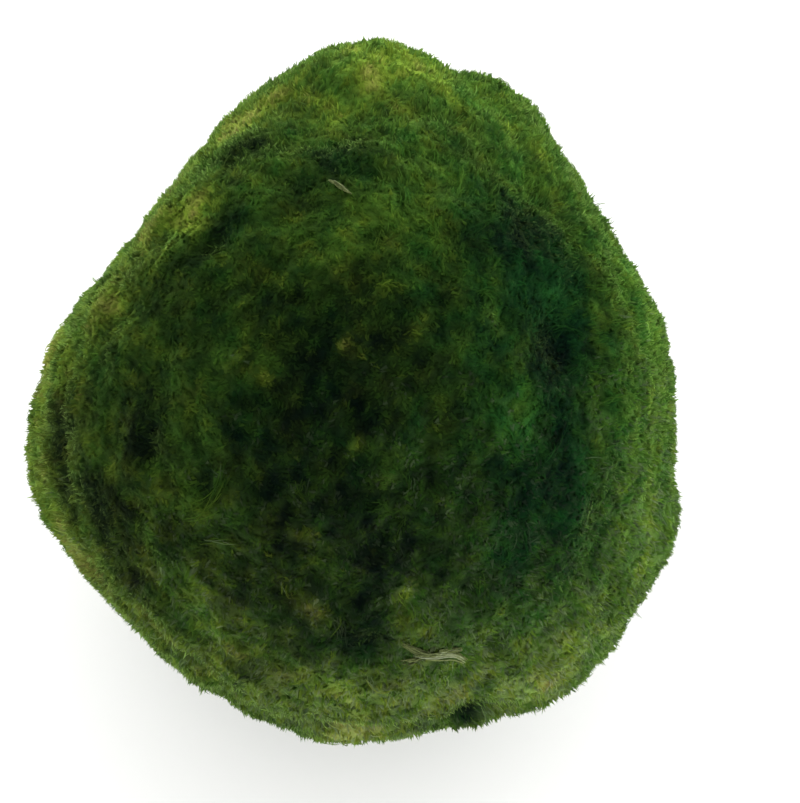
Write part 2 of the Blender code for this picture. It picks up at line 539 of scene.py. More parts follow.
# A socket whose sums, differences, products and powers are Math nodes.
class Wire:
    def __init__(self, finish, socket):
        self.finish = finish
        self.socket = socket

    def math(self, operation, first, second):
        return self.finish.node("ShaderNodeMath", {"operation": operation}, {0: first, 1: second})

    def __add__(self, other):
        return self.math("ADD", self, other)

    def __sub__(self, other):
        return self.math("SUBTRACT", self, other)

    def __mul__(self, other):
        return self.math("MULTIPLY", self, other)

    def __pow__(self, other):
        return self.math("POWER", self, other)


# A node tree that is being wired up, of a material or of the world.
class Finish:
    def __init__(self, owner):
        owner.use_nodes = True
        self.owner = owner
        self.tree = owner.node_tree
        self.tree.nodes.clear()

    def node(self, kind, settings=None, sockets=None, output=0):
        made = self.tree.nodes.new(kind)
        for name, value in (settings or {}).items():
            if name == "stops":
                self.setStops(made.color_ramp, value)
            else:
                setattr(made, name, value)
        for name, value in (sockets or {}).items():
            if isinstance(value, Wire):
                self.tree.links.new(value.socket, made.inputs[name])
            else:
                made.inputs[name].default_value = value
        return Wire(self, made.outputs[output]) if made.outputs else made

    def setStops(self, ramp, stops):
        while len(ramp.elements) > 1:
            ramp.elements.remove(ramp.elements[-1])
        for index, (place, colour) in enumerate(stops):
            element = ramp.elements[0] if index == 0 else ramp.elements.new(place)
            element.position = place
            element.color = (*colour, 1)

    def ramp(self, factor, stops):
        return self.node("ShaderNodeValToRGB", {"stops": stops}, {0: factor})

    # blend is the Mix node's way of joining two colours; sockets 6 and 7 are its colours
    def mix(self, factor, first, second, blend="MIX"):
        settings = {"data_type": "RGBA", "blend_type": blend}
        return self.node("ShaderNodeMix", settings, {0: factor, 6: first, 7: second}, output=2)

    def parts(self, vector):
        first = self.node("ShaderNodeSeparateXYZ", {}, {0: vector})
        return [Wire(self, socket) for socket in first.socket.node.outputs]

    def noise(self, place, scale, detail):
        sockets = {"Vector": place, "Scale": scale, "Detail": detail}
        return self.node("ShaderNodeTexNoise", {}, sockets)

    def bump(self, height, strength, distance):
        sockets = {"Strength": strength, "Distance": distance, "Height": height}
        return self.node("ShaderNodeBump", {}, sockets)

    def principled(self, sockets):
        return self.node("ShaderNodeBsdfPrincipled", {}, sockets)

    # Ends the material with this shader.
    def shown(self, shader):
        self.node("ShaderNodeOutputMaterial", {}, {0: shader})
        return self.owner


# The moss: its colours at each hue, how bright they are at each light, and how its threads shine
palette = [
    (0.00, (0.008, 0.054, 0.009)),
    (0.25, (0.023, 0.078, 0.008)),
    (0.50, (0.054, 0.115, 0.011)),
    (0.70, (0.110, 0.170, 0.014)),
    (0.85, (0.160, 0.190, 0.030)),
    (1.00, (0.210, 0.195, 0.050)),
]
moss = {
    "cleanSpan": 0.49,  # the clean colours fill this much of the ramp from 0
    "dustedFrom": 0.51,  # and the dusted ones the same length from here
    "curve": 1.8,
    "bright": 2.0,
    "darkest": 0.03,
    "veil": (0.0, 0.0, 0.0024, 1),  # a faint blue that is added to all of it
    "roughness": 0.85,
    "through": (0.075, 0.18, 0.03, 1),  # the light that a thread lets through
    "throughShare": 0.42,  # of the brightest thread's shader
}
sheen = {"Sheen Weight": 0.62, "Sheen Roughness": 0.32, "Sheen Tint": (0.47, 0.76, 0.18, 1)}

# Some threads carry a grey bloom of silt, most of them on one side of the ball
dust = {
    "strength": 0.55,  # how far it takes their colour to a grey green as light
    "red": 0.80,  # of that green, as a share of its green
    "blue": 0.62,
    "share": -0.07,  # of the threads, a quarter turn from the dustiest side
    "moreWay": (-74, -15),  # heading and rise of that side
    "more": 0.52,  # and how many more have it there
    "patchNoise": [(0.14, 0.13, 39, 20)],  # as in the tone
    "lighter": 0.02,
}


# A palette colour under its bloom.
def dusted(colour):
    red, green, blue = colour
    part = dust["strength"]
    red = red * (1 - part) + green * dust["red"] * part
    return red, green, blue * (1 - part) + green * dust["blue"] * part


# Share of the threads with bloom: share + more * cosine of the angle to that side + noise.
def dustShare(directions):
    share = dust["share"] + dust["more"] * (directions @ headingAndRise(*dust["moreWay"]))
    return np.clip(share + noiseSum(directions, dust["patchNoise"]), 0, 1)


# The palette fills the first half of the ramp, and its dusted colours the second.
def mossRamp(finish, place):
    span = moss["cleanSpan"]
    clean = [(span * hue, colour) for hue, colour in palette]
    grey = [(moss["dustedFrom"] + span * hue, dusted(colour)) for hue, colour in palette]
    return finish.ramp(place, clean + grey)


# Moss colour times a brightness of bright * light^curve + darkest, plus a veil.
def shaded(finish, colour, light):
    shade = light ** moss["curve"] * moss["bright"] + moss["darkest"]
    grey = finish.node("ShaderNodeCombineXYZ", {}, {0: shade, 1: shade, 2: shade})
    return finish.mix(1.0, finish.mix(1.0, colour, grey, "MULTIPLY"), moss["veil"], "ADD")


# Threads read their place on the ramp from their map's U and light from its V. They let some
# light through, the bright ones more.
def threadMaterial():
    finish = Finish(bpy.data.materials.new("threads"))
    place, light = finish.parts(finish.node("ShaderNodeUVMap", {"uv_map": "OFBake"}))[:2]
    colour = shaded(finish, mossRamp(finish, place), light)
    skin = {"Base Color": colour, "Roughness": moss["roughness"], "Specular IOR Level": 0.0}
    surface = finish.principled({**skin, **sheen})
    through = finish.node("ShaderNodeBsdfTranslucent", {}, {"Color": moss["through"]})
    factor = light * moss["throughShare"]
    sockets = {0: factor, 1: surface, 2: through}
    return finish.shown(finish.node("ShaderNodeMixShader", {}, sockets))


# The felt that the threads grow from
felt = {
    "cells": 72,  # along each edge of the cube that is rounded to the ball
    "depth": 0.00027,  # below the threads' tips
    "crownDepth": 0.42,  # share of that depth where the moss is softest
    "lump": 0.00007,
    "lumpNoise": [(1, 0.07, 4), (0.7, 0.035, 5)],
    # painted shade: the felt between the threads is made this much darker
    "darker": 0.08,
    "floorGap": 0.00025,
    "fine": (2600.0, 4.0),  # scale and detail of the noise
    "broad": (700.0, 3.0),
    "mottle": 0.3,  # how far broad noise shifts its hue
    "grain": 0.4,  # how far fine noise changes its light
    "grainLeast": 0.66,
    "bump": (0.5, 0.0002),  # strength and height
    "roughness": 0.95,
    "hues": (0.05, 0.95),  # least and most
    "lights": (0.02, 1),
}


# Felt: the threads' own tone from the mesh's tone attribute, mottled by noise, with a fine bump.
def feltMaterial():
    finish = Finish(bpy.data.materials.new("felt"))
    place = finish.node("ShaderNodeTexCoord", output="Object")
    fine = finish.noise(place, *felt["fine"])
    broad = finish.noise(place, *felt["broad"])
    told = finish.node("ShaderNodeAttribute", {"attribute_name": "tone"}, output="Vector")
    hue, light, bloom = finish.parts(told)
    spot = (hue + broad * felt["mottle"] - felt["mottle"] / 2) * moss["cleanSpan"]
    greyer = mossRamp(finish, spot + moss["dustedFrom"])
    colour = finish.mix(bloom, mossRamp(finish, spot), greyer)
    skin = {
        "Base Color": shaded(finish, colour, light * (fine * felt["grain"] + felt["grainLeast"])),
        "Roughness": felt["roughness"],
        "Specular IOR Level": 0.0,
        "Normal": finish.bump(fine, *felt["bump"]),
    }
    return finish.shown(finish.principled({**skin, **sheen}))


# A mesh from arrays: corners lists the vertex of every face corner in order, and sizes how many
# corners each face has.
def arrayMesh(name, points, corners, sizes):
    mesh = bpy.data.meshes.new(name)
    mesh.vertices.add(len(points))
    mesh.vertices.foreach_set("co", points.astype(np.float32).ravel())
    mesh.loops.add(len(corners))
    mesh.loops.foreach_set("vertex_index", corners.astype(np.int32))
    mesh.polygons.add(len(sizes))
    starts = np.concatenate([[0], np.cumsum(sizes)[:-1]])
    mesh.polygons.foreach_set("loop_start", starts.astype(np.int32))
    mesh.update(calc_edges=True)
    mesh.validate()
    mesh.shade_smooth()
    made = bpy.data.objects.new(name, mesh)
    bpy.context.scene.collection.objects.link(made)
    return made


def setVectors(mesh, name, vectors):
    layer = mesh.attributes.new(name, "FLOAT_VECTOR", "POINT")
    layer.data.foreach_set("vector", vectors.astype(np.float32).ravel())


# The grid of a cube from -1 to 1, its six sides joined along their edges, rounded to the sphere
# by the tangent of each coordinate's share of 45 degrees.
def cubeGrid(cells):
    steps = np.linspace(-1, 1, cells + 1)
    u, v = np.meshgrid(steps, steps, indexing="ij")
    flat = np.ones_like(u)
    sides = []
    index = np.arange((cells + 1) ** 2).reshape(cells + 1, cells + 1)
    quad = np.stack([index[:-1, :-1], index[1:, :-1], index[1:, 1:], index[:-1, 1:]], axis=-1)
    quads = []
    for axis in range(3):
        for end in (-1, 1):
            side = np.stack([flat * end, u * end, v], axis=-1)
            quads.append(quad.reshape(-1, 4) + len(sides) * (cells + 1) ** 2)
            sides.append(np.roll(side, axis, axis=-1).reshape(-1, 3))
    points = np.concatenate(sides)
    keys = np.round((points + 1) * cells / 2).astype(np.int64) @ np.array([1, 10**4, 10**8])
    first, back = np.unique(keys, return_index=True, return_inverse=True)[1:]
    return unit(np.tan(points[first] * pi / 4)), back.reshape(-1)[np.concatenate(quads)]


# Felt radius = the surface's, less a depth, plus fine lumps from noise of two wavelengths, both
# less on the soft crown; what would lie under the ground is pressed flat just above it.
def makeFelt():
    directions, quads = cubeGrid(felt["cells"])
    lumps = felt["lump"] * noiseSum(directions, felt["lumpNoise"])
    contrast = softened(directions)
    depth = felt["depth"] * eased(contrast, felt["crownDepth"])
    radius = surfaceRadius(directions) - depth + lumps * contrast
    points = middle + directions * radius[:, None]
    points[:, 2] = np.maximum(points[:, 2], felt["floorGap"])
    made = arrayMesh("felt", points, quads.ravel(), np.full(len(quads), 4))
    hue, light = placeTone(directions)
    hue = np.clip(hue, *felt["hues"])
    # painted shade in the gaps between the threads
    light = np.clip(light - felt["darker"] * contrast, *felt["lights"])
    setVectors(made.data, "tone", np.stack([hue, light, dustShare(directions)], axis=1))
    made.data.materials.append(feltMaterial())
    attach(made, "root")
    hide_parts("moss_ball")
    print("felt: done,", len(quads) * 2, "triangles")


makeFelt()


# Two unit vectors square to each direction, found with an axis that lies well off it.
def sideways(directions):
    helper = np.where(np.abs(directions[:, 2:3]) < 0.8, [[0.0, 0, 1.0]], [[1.0, 0, 0]])
    first = unit(np.cross(helper, directions))
    return first, np.cross(directions, first)


# The part of each vector that is square to its direction.
def alongSurface(vectors, directions):
    return vectors - directions * (vectors * directions).sum(axis=-1, keepdims=True)


# The surface's own normal: square to the two short steps that it takes sideways.
def surfaceNormals(directions, step=0.03):
    first, second = sideways(directions)
    here = directions * surfaceRadius(directions)[:, None]
    one, two = unit(directions + first * step), unit(directions + second * step)
    across = one * surfaceRadius(one)[:, None] - here
    along = two * surfaceRadius(two)[:, None] - here
    return unit(np.cross(across, along))


# Where the threads lie one way: a pixel, a radius in pixels, and the way in pixels
flows = {
    "farUp": (460, 170, 50, 2, -10),
    "farUpLeft": (376, 140, 50, -1, -10),
    "farRight": (560, 180, 50, 8, -7),
    "right": (630, 310, 50, 10, 0),
    "rightLow": (640, 450, 60, 10, 3),
    "lowRight": (590, 600, 60, 7, 7),
    "innerRight": (496, 300, 40, 10, -2),
    "leftBand": (90, 440, 34, 3, 10),
    "leftBandLow": (130, 540, 44, 7, 8),
    "leftEdge": (48, 452, 22, 8, 6),
    "near": (270, 650, 40, -1, 10),
    "nearRight": (460, 575, 40, 5, 8),
    "bottom": (390, 716, 60, 10, 2),
}
combed = {
    "outward": 0.5,  # away from the crown
    "flow": 3,
    "broad": (0.9, (21, 22, 23)),  # wavelengths and seeds of the noise
    "fine": (0.25, (24, 25, 26)),
}
flowWays = waysOf(flows)
flowEnds = pixelDirections([(x + dx, y + dy) for x, y, radius, dx, dy in flows.values()])


# A vector of three noises for each direction.
def swirl(directions, wavelength, seeds):
    return np.stack([waves(directions, wavelength, seed) for seed in seeds], axis=1)


# The way the threads are combed: away from the crown and with the flows near by, each by its
# exp(-(angle / radius)^2), and stirred by smooth noise.
def combing(directions):
    outward = unit(alongSurface(-cameraAxes()[2] + 0 * directions, directions) + tiny)
    way = combed["outward"] * outward
    way = way + swirl(directions, *combed["broad"]) + swirl(directions, *combed["fine"])
    steps = unit(flowEnds - flowWays)
    for (share, rest), step in zip(bells(directions, flowWays, flows), steps):
        way = way + combed["flow"] * share[:, None] * step
    return unit(alongSurface(way, directions))


# A vector for each thread at an angle and a reach from its bundle's middle.
def aside(pair, angles, reaches):
    first, second = pair
    first = first * (np.cos(angles) * reaches)[:, None]
    return first + second * (np.sin(angles) * reaches)[:, None]


# What all threads share
thread = {
    "widths": (0.75, 1.3),  # of single threads, as shares of their kind's
    "taper": 0.6,  # how much of it goes by the tip
    "lowest": 0.00003,  # above the ground
    "hues": (-0.003, 0.003, 0.0),  # shifts of place and of light between a ring's points
    "lights": (0.0, 0.0, -0.006),
    "ends": (0.02, 0.98),  # least and most of either
}


# Closed threads along rows of centre points: a ring of three points at every station but the
# last, and one point at the tip. A ring's points stand 120 degrees apart round the thread's way,
# turned by its own roll. Its map holds its place on the moss ramp, which is in the second half
# for a dusty thread, and its light, which climbs from root to tip: painted shade on the roots.
# Both shift a little between a ring's points so that no face is a line on the map.
def spinThreads(centre, shading, hue, light, look, random, contrast=1, wider=1):
    count, stations = centre.shape[:2]
    rings = stations - 1
    share = np.linspace(0, 1, stations)
    along = unit(np.gradient(centre, axis=1))[:, :rings]
    first = sideways(unit(centre[:, -1] - centre[:, 0]))[0][:, None]
    first = unit(alongSurface(first + 0 * along, along))[:, :, None]
    second = np.cross(along, first[:, :, 0])[:, :, None]
    angles = random.uniform(0, 2 * pi, count)[:, None, None] + np.arange(3) * 2 * pi / 3
    around = first * np.cos(angles)[..., None] + second * np.sin(angles)[..., None]
    taper = (1 - thread["taper"] * share[:rings] ** 2) * look["width"] / 2
    width = (random.uniform(*thread["widths"], count) * wider)[:, None, None, None]
    ringPoints = centre[:, :rings, None] + around * (width * taper[:, None, None])
    points = np.concatenate([ringPoints.reshape(count, -1, 3), centre[:, -1:]], axis=1) + middle
    points[..., 2] = np.maximum(points[..., 2], thread["lowest"])

    contrast = contrast * np.ones(count)
    rounded = shading[:, None, None] + (look["roundness"] * contrast)[:, None, None, None] * around
    normals = np.concatenate([rounded.reshape(count, -1, 3), shading[:, None]], axis=1)
    dusty = random.uniform(0, 1, count) < dustShare(unit(centre[:, -1]))
    hue = np.clip(hue, *thread["ends"]) * moss["cleanSpan"] + moss["dustedFrom"] * dusty
    hue = hue[:, None]
    light = (light + dust["lighter"] * dusty)[:, None]
    # painted shade on the roots, less where the moss is soft
    dark = (look["rootPaintedShade"] * contrast)[:, None]
    light = np.clip(light * (1 - dark * (1 - share[None, :])), *thread["ends"])
    ringHue = hue[:, None] + thread["hues"] + np.zeros((1, rings, 1))
    ringLight = light[:, :rings, None] + thread["lights"]
    ringMap = np.stack([ringHue, ringLight], axis=-1).reshape(count, -1, 2)
    tipMap = np.stack([hue, light[:, -1:]], axis=-1)
    return points, unit(normals), np.concatenate([ringMap, tipMap], axis=1)


# The corners and face sizes of one closed thread: quads between its rings, three triangles at
# its tip and one at its root.
def threadFaces(rings):
    corners, sizes = [2, 1, 0], [3]
    for ring in range(rings):
        for side in range(3):
            near, far = 3 * ring + side, 3 * ring + (side + 1) % 3
            last = ring == rings - 1
            corners += [near, far, 3 * rings] if last else [near, far, far + 3, near + 3]
            sizes.append(3 if last else 4)
    return np.array(corners), np.array(sizes)


# Threads become a few joined meshes, with their soft normals and their map.
def makeThreads(name, spun, pieces, material):
    points, normals, maps = spun
    each = points.shape[1]
    corners, sizes = threadFaces((each - 1) // 3)
    for number, part in enumerate(np.array_split(np.arange(len(points)), pieces), 1):
        index = (np.arange(len(part))[:, None] * each + corners[None, :]).ravel()
        flatPoints = points[part].reshape(-1, 3)
        title = f"{name}_{number}" if pieces > 1 else name
        piece = arrayMesh(title, flatPoints, index, np.tile(sizes, len(part)))
        setVectors(piece.data, "custom_normal", normals[part])
        layer = piece.data.uv_layers.new(name="OFBake")
        layer.data.foreach_set("uv", maps[part].reshape(-1, 2)[index].astype(np.float32).ravel())
        piece.data.materials.append(material)
        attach(piece, "root")
    print(name, "done:", len(points), "threads,", len(points) * int((sizes - 2).sum()), "triangles")


# The nap: short threads that stand in small bundles all over the mounds. Noise is given by its
# wavelength in radii, its seed and the number of its waves.
nap = {
    "spacing": 0.00035,  # between bundles
    "packing": 0.866,  # area for each bundle, in squares of that spacing
    "scatter": 0.35,  # of a bundle, in spacings
    "perBundle": 3,
    "spread": 0.00020,  # radius of a bundle at its roots
    "gather": 0.3,  # share of the way that a tip is drawn to the middle of its bundle
    "tipSpread": 0.00008,
    "depth": 0.00042,  # of the roots, under the surface
    "crownDepth": 0.4,  # share of that depth where the moss is softest
    "rise": (-0.00008, 0.00010),  # of a bundle's tip, from the surface
    "riseSpread": 0.00007,  # between its threads
    "crownRise": 0.35,  # share of the rises where the moss is softest
    "dome": 0.00008,  # how much lower its outermost threads end
    "proudShare": 0.05,  # of the bundles, which stand out further
    "proud": 0.00022,
    "grain": (0.026, 41, 20),  # lifts and sinks whole groups
    "grainRise": 0.00012,
    # painted light on the lifted groups and painted shade on the sunk ones
    "grainPaintedShading": 0.08,
    "tuft": (0.055, 43, 20),  # its peaks stand out as small tufts
    "tuftRise": 0.00024,
    "lean": (0.00004, 0.00034),  # how far a tip lies sideways of its root
    "leanBack": 0.35,  # share of that by which the root is behind
    "combed": 0.6,
    "streak": (0.020, 42, 48),  # fine across the streaks
    "streakReach": 0.0008,  # half their length
    "streakSteps": 9,
    "streakGain": 2,  # makes up for the averaging
    "streakHue": 0.03,
    "streakLight": 0.05,
    "width": 0.00020,
    "crownWider": 1.5,  # times wider where the moss is softest
    "bundleHue": 0.06,  # differences between bundles
    "crownHue": 0.4,  # share of it where the moss is softest
    "bundleLight": 0.05,
    "hueSpread": 0.03,  # and between single threads
    "lightSpread": 0.05,
    "outward": 0.4,  # how far the outer threads' shading turns out
    "tilt": 0.08,
    "roundness": 0.25,
    # painted shade on the roots
    "rootPaintedShade": 0.42,
    "pieces": 4,
    "seed": 11,
}


# Streaks along the combing: fine noise averaged over even steps to both sides that way.
def streaks(directions, way):
    steps = np.linspace(-1, 1, nap["streakSteps"]) * nap["streakReach"] / meanRadius
    noise = [waves(unit(directions + step * way), *nap["streak"]) for step in steps]
    return nap["streakGain"] * np.mean(noise, axis=0)


# Each thread is a straight line from its root, in a disc round its bundle's middle, to its tip,
# which is drawn to that middle and lies to the side that the bundle leans to. Fine noise lifts
# some groups of bundles, with painted light, and sinks others, with painted shade, and the square
# of a broader one's upper half raises tufts. On the crown the threads are wider and differ less.
def napThreads():
    random = np.random.default_rng(nap["seed"])
    wanted = int(countFor(nap["spacing"]) / nap["packing"])
    bundles = spreadDirections(wanted, nap["scatter"] * nap["spacing"] / meanRadius, random)
    count = len(bundles)
    normals = surfaceNormals(bundles)
    pair = sideways(bundles)
    loose = aside(pair, random.uniform(0, 2 * pi, count), np.ones(count))
    flow = combing(bundles)
    lean = unit(nap["combed"] * flow + loose + tiny)
    lean = lean * random.uniform(*nap["lean"], count)[:, None]
    grain = waves(bundles, *nap["grain"])
    rise = random.uniform(*nap["rise"], count) + nap["grainRise"] * grain
    proud = random.uniform(0, 1, count) < nap["proudShare"]
    rise += nap["proud"] * proud * random.uniform(0, 1, count)
    rise += nap["tuftRise"] * np.maximum(waves(bundles, *nap["tuft"]), 0) ** 2
    contrast = softened(bundles)
    bundleHue = random.normal(0, nap["bundleHue"], count) * eased(contrast, nap["crownHue"])
    bundleLight = random.normal(0, nap["bundleLight"], count) + nap["grainPaintedShading"] * grain
    bundleLight = bundleLight * contrast

    owner = np.repeat(np.arange(count), nap["perBundle"])
    total = len(owner)
    reach = np.sqrt(random.uniform(0, 1, total))
    angles = random.uniform(0, 2 * pi, total)
    shift = aside((pair[0][owner], pair[1][owner]), angles, reach * nap["spread"])
    tipShift = (1 - nap["gather"]) * shift + random.normal(0, nap["tipSpread"], (total, 3))
    back, ahead = nap["leanBack"] * lean[owner], (1 - nap["leanBack"]) * lean[owner]
    rootWay = unit(bundles[owner] + (shift - back) / meanRadius)
    tipWay = unit(bundles[owner] + (tipShift + ahead) / meanRadius)
    lift = rise[owner] - nap["dome"] * reach**2 + random.normal(0, nap["riseSpread"], total)
    contrast = contrast[owner]
    lift = lift * eased(contrast, nap["crownRise"])
    depth = nap["depth"] * eased(contrast, nap["crownDepth"])
    root = rootWay * (surfaceRadius(rootWay) - depth)[:, None]
    tip = tipWay * (surfaceRadius(tipWay) + lift)[:, None]

    tilt = nap["outward"] * shift / nap["spread"] + random.normal(0, nap["tilt"], (total, 3))
    shading = unit(normals[owner] + tilt * contrast[:, None])
    hue, light = placeTone(tipWay)
    hue += bundleHue[owner] + random.normal(0, nap["hueSpread"], total) * contrast
    light += bundleLight[owner] + random.normal(0, nap["lightSpread"], total) * contrast
    streak = streaks(tipWay, flow[owner])
    hue += nap["streakHue"] * streak
    light += nap["streakLight"] * streak
    wider = eased(contrast, nap["crownWider"])
    centre = np.stack([root, tip], axis=1)
    return spinThreads(centre, shading, hue, light, nap, random, contrast, wider)


# The radius of the surface along rows of directions.
def rowRadius(ways):
    return surfaceRadius(ways.reshape(-1, 3)).reshape(ways.shape[:2])


# The strands: longer curved threads that lie over the nap in small locks
strands = {
    "locks": 3200,
    "scatter": 0.00055,
    "crownFewer": 0.8,  # share of the locks left out where the crown is darkest
    "perLock": 2,
    "lockSpread": 0.00035,
    "length": (0.0004, 0.0012),
    "lengths": (0.7, 1.2),  # of single strands, as shares of their lock's
    "curl": 1.2,  # radians that the longest bend turns through
    "curlSpread": 0.15,
    "leastBend": 0.01,
    "loose": 0.5,  # how far a lock's way strays from the combing
    "stray": 0.4,  # and a strand's from its lock's
    "lifts": (-0.00030, -0.00006, 0.0, 0.0),  # above the surface, root to tip
    "tipLift": 0.00006,
    "liftSpread": 0.00005,
    "lockHue": 0.04,  # differences between locks
    "lockLight": 0.035,
    "hueSpread": 0.02,  # and between single strands
    "lightSpread": 0.015,
    "tilt": 0.10,
    "width": 0.00007,
    "roundness": 0.2,
    # painted shade on the roots
    "rootPaintedShade": 0.15,
    "seed": 12,
}
broadStep = 0.05  # radians, for the shading of threads that lie over the nap


# Spins threads that lie over the nap. Their hue and light are the place's, shifted by these and
# by each thread's own small difference, and they shade like the surface, tilted a little.
def spinOver(centre, places, normals, shifts, look, random, contrast=1, tilting=1):
    total = len(centre)
    hue, light = placeTone(places)
    hue += shifts[0] + random.normal(0, look["hueSpread"], total)
    light += shifts[1] + random.normal(0, look["lightSpread"], total)
    shading = unit(normals + random.normal(0, look["tilt"], (total, 3)) * tilting)
    return spinThreads(centre, shading, hue, light, look, random, contrast)


# Each strand is an arc over the surface: length * sin(turn) / turn along its lock's way, and
# length * (1 - cos(turn)) / turn aside, while its height goes from under the nap to above it.
def strandThreads():
    random = np.random.default_rng(strands["seed"])
    locks = spreadDirections(strands["locks"], strands["scatter"] / meanRadius, random)
    locks = locks[random.uniform(0, 1, len(locks)) > strands["crownFewer"] * crownShare(locks)]
    count = len(locks)
    normals = surfaceNormals(locks, broadStep)
    loose = aside(sideways(locks), random.uniform(0, 2 * pi, count), np.ones(count))
    way = combing(locks) + strands["loose"] * loose
    length = random.uniform(*strands["length"], count)
    curl = random.uniform(-1, 1, count) * strands["curl"]
    contrast = softened(locks)
    lockHue = random.normal(0, strands["lockHue"], count)
    lockLight = random.normal(0, strands["lockLight"], count) * contrast
    tipLift = random.uniform(0, 1, count) ** 2 * strands["tipLift"]

    owner = np.repeat(np.arange(count), strands["perLock"])
    total = len(owner)
    pair = sideways(locks[owner])
    shift = aside(pair, random.uniform(0, 2 * pi, total), random.uniform(0, 1, total))
    start = unit(locks[owner] + shift * strands["lockSpread"] / meanRadius)
    heading = way[owner] + random.normal(0, strands["stray"], (total, 3))
    heading = unit(alongSurface(heading, start))
    turned = np.cross(start, heading)
    share = np.linspace(0, 1, len(strands["lifts"]))
    bend = curl[owner] + random.normal(0, strands["curlSpread"], total)
    bend = bend[:, None] * share[None, :]
    bend = np.where(np.abs(bend) < strands["leastBend"], strands["leastBend"], bend)
    reach = length[owner] * random.uniform(*strands["lengths"], total)
    reach = reach[:, None] * share[None, :] / meanRadius
    forward = heading[:, None] * (reach * np.sin(bend) / bend)[..., None]
    aslant = turned[:, None] * (reach * (1 - np.cos(bend)) / bend)[..., None]
    ways = unit(start[:, None] + forward + aslant)
    lift = np.array(strands["lifts"])[None, :] + (tipLift[owner])[:, None] * share[None, :] ** 2
    lift = lift + random.normal(0, strands["liftSpread"], (total, 1))
    centre = ways * (rowRadius(ways) + lift)[..., None]

    places = ways[:, len(share) // 2]
    shifts = (lockHue[owner], lockLight[owner])
    contrast = contrast[owner]
    return spinOver(
        centre, places, normals[owner], shifts, strands, random, contrast, contrast[:, None]
    )


# A smooth line of many points through a few: each stretch is a cubic whose slope at a point is
# half the step between the point's neighbours.
def smoothLine(points, count):
    points = np.asarray(points, float)
    ends = [2 * points[:1] - points[1:2], points, 2 * points[-1:] - points[-2:-1]]
    padded = np.concatenate(ends)
    place = np.linspace(0, len(points) - 1, count)
    start = np.minimum(place.astype(int), len(points) - 2)
    x = (place - start)[:, None]
    p0, p1, p2, p3 = (padded[start + k] for k in range(4))
    cubic = (3 * (p1 - p2) + p3 - p0) * x**3 + (2 * p0 - 5 * p1 + 4 * p2 - p3) * x**2
    return (cubic + (p2 - p0) * x) / 2 + p1


lineSteps = 40  # of each smooth line that hairs or fibres follow


def lineThrough(pixels):
    return unit(smoothLine(pixelDirections(pixels), lineSteps))


# The line's last step before each place, which is counted in steps.
def stepBefore(place):
    return np.minimum(place.astype(int), lineSteps - 2)


# Directions at these places of a line, and so many pixels beside it.
def besideLine(line, place, pixels):
    side = np.cross(line, unit(np.gradient(line, axis=0)))
    low = stepBefore(place)
    share = (place - low)[..., None]
    ways = line[low] * (1 - share) + line[low + 1] * share
    return unit(ways + side[low] * (pixels * pixelSize / meanRadius)[..., None])


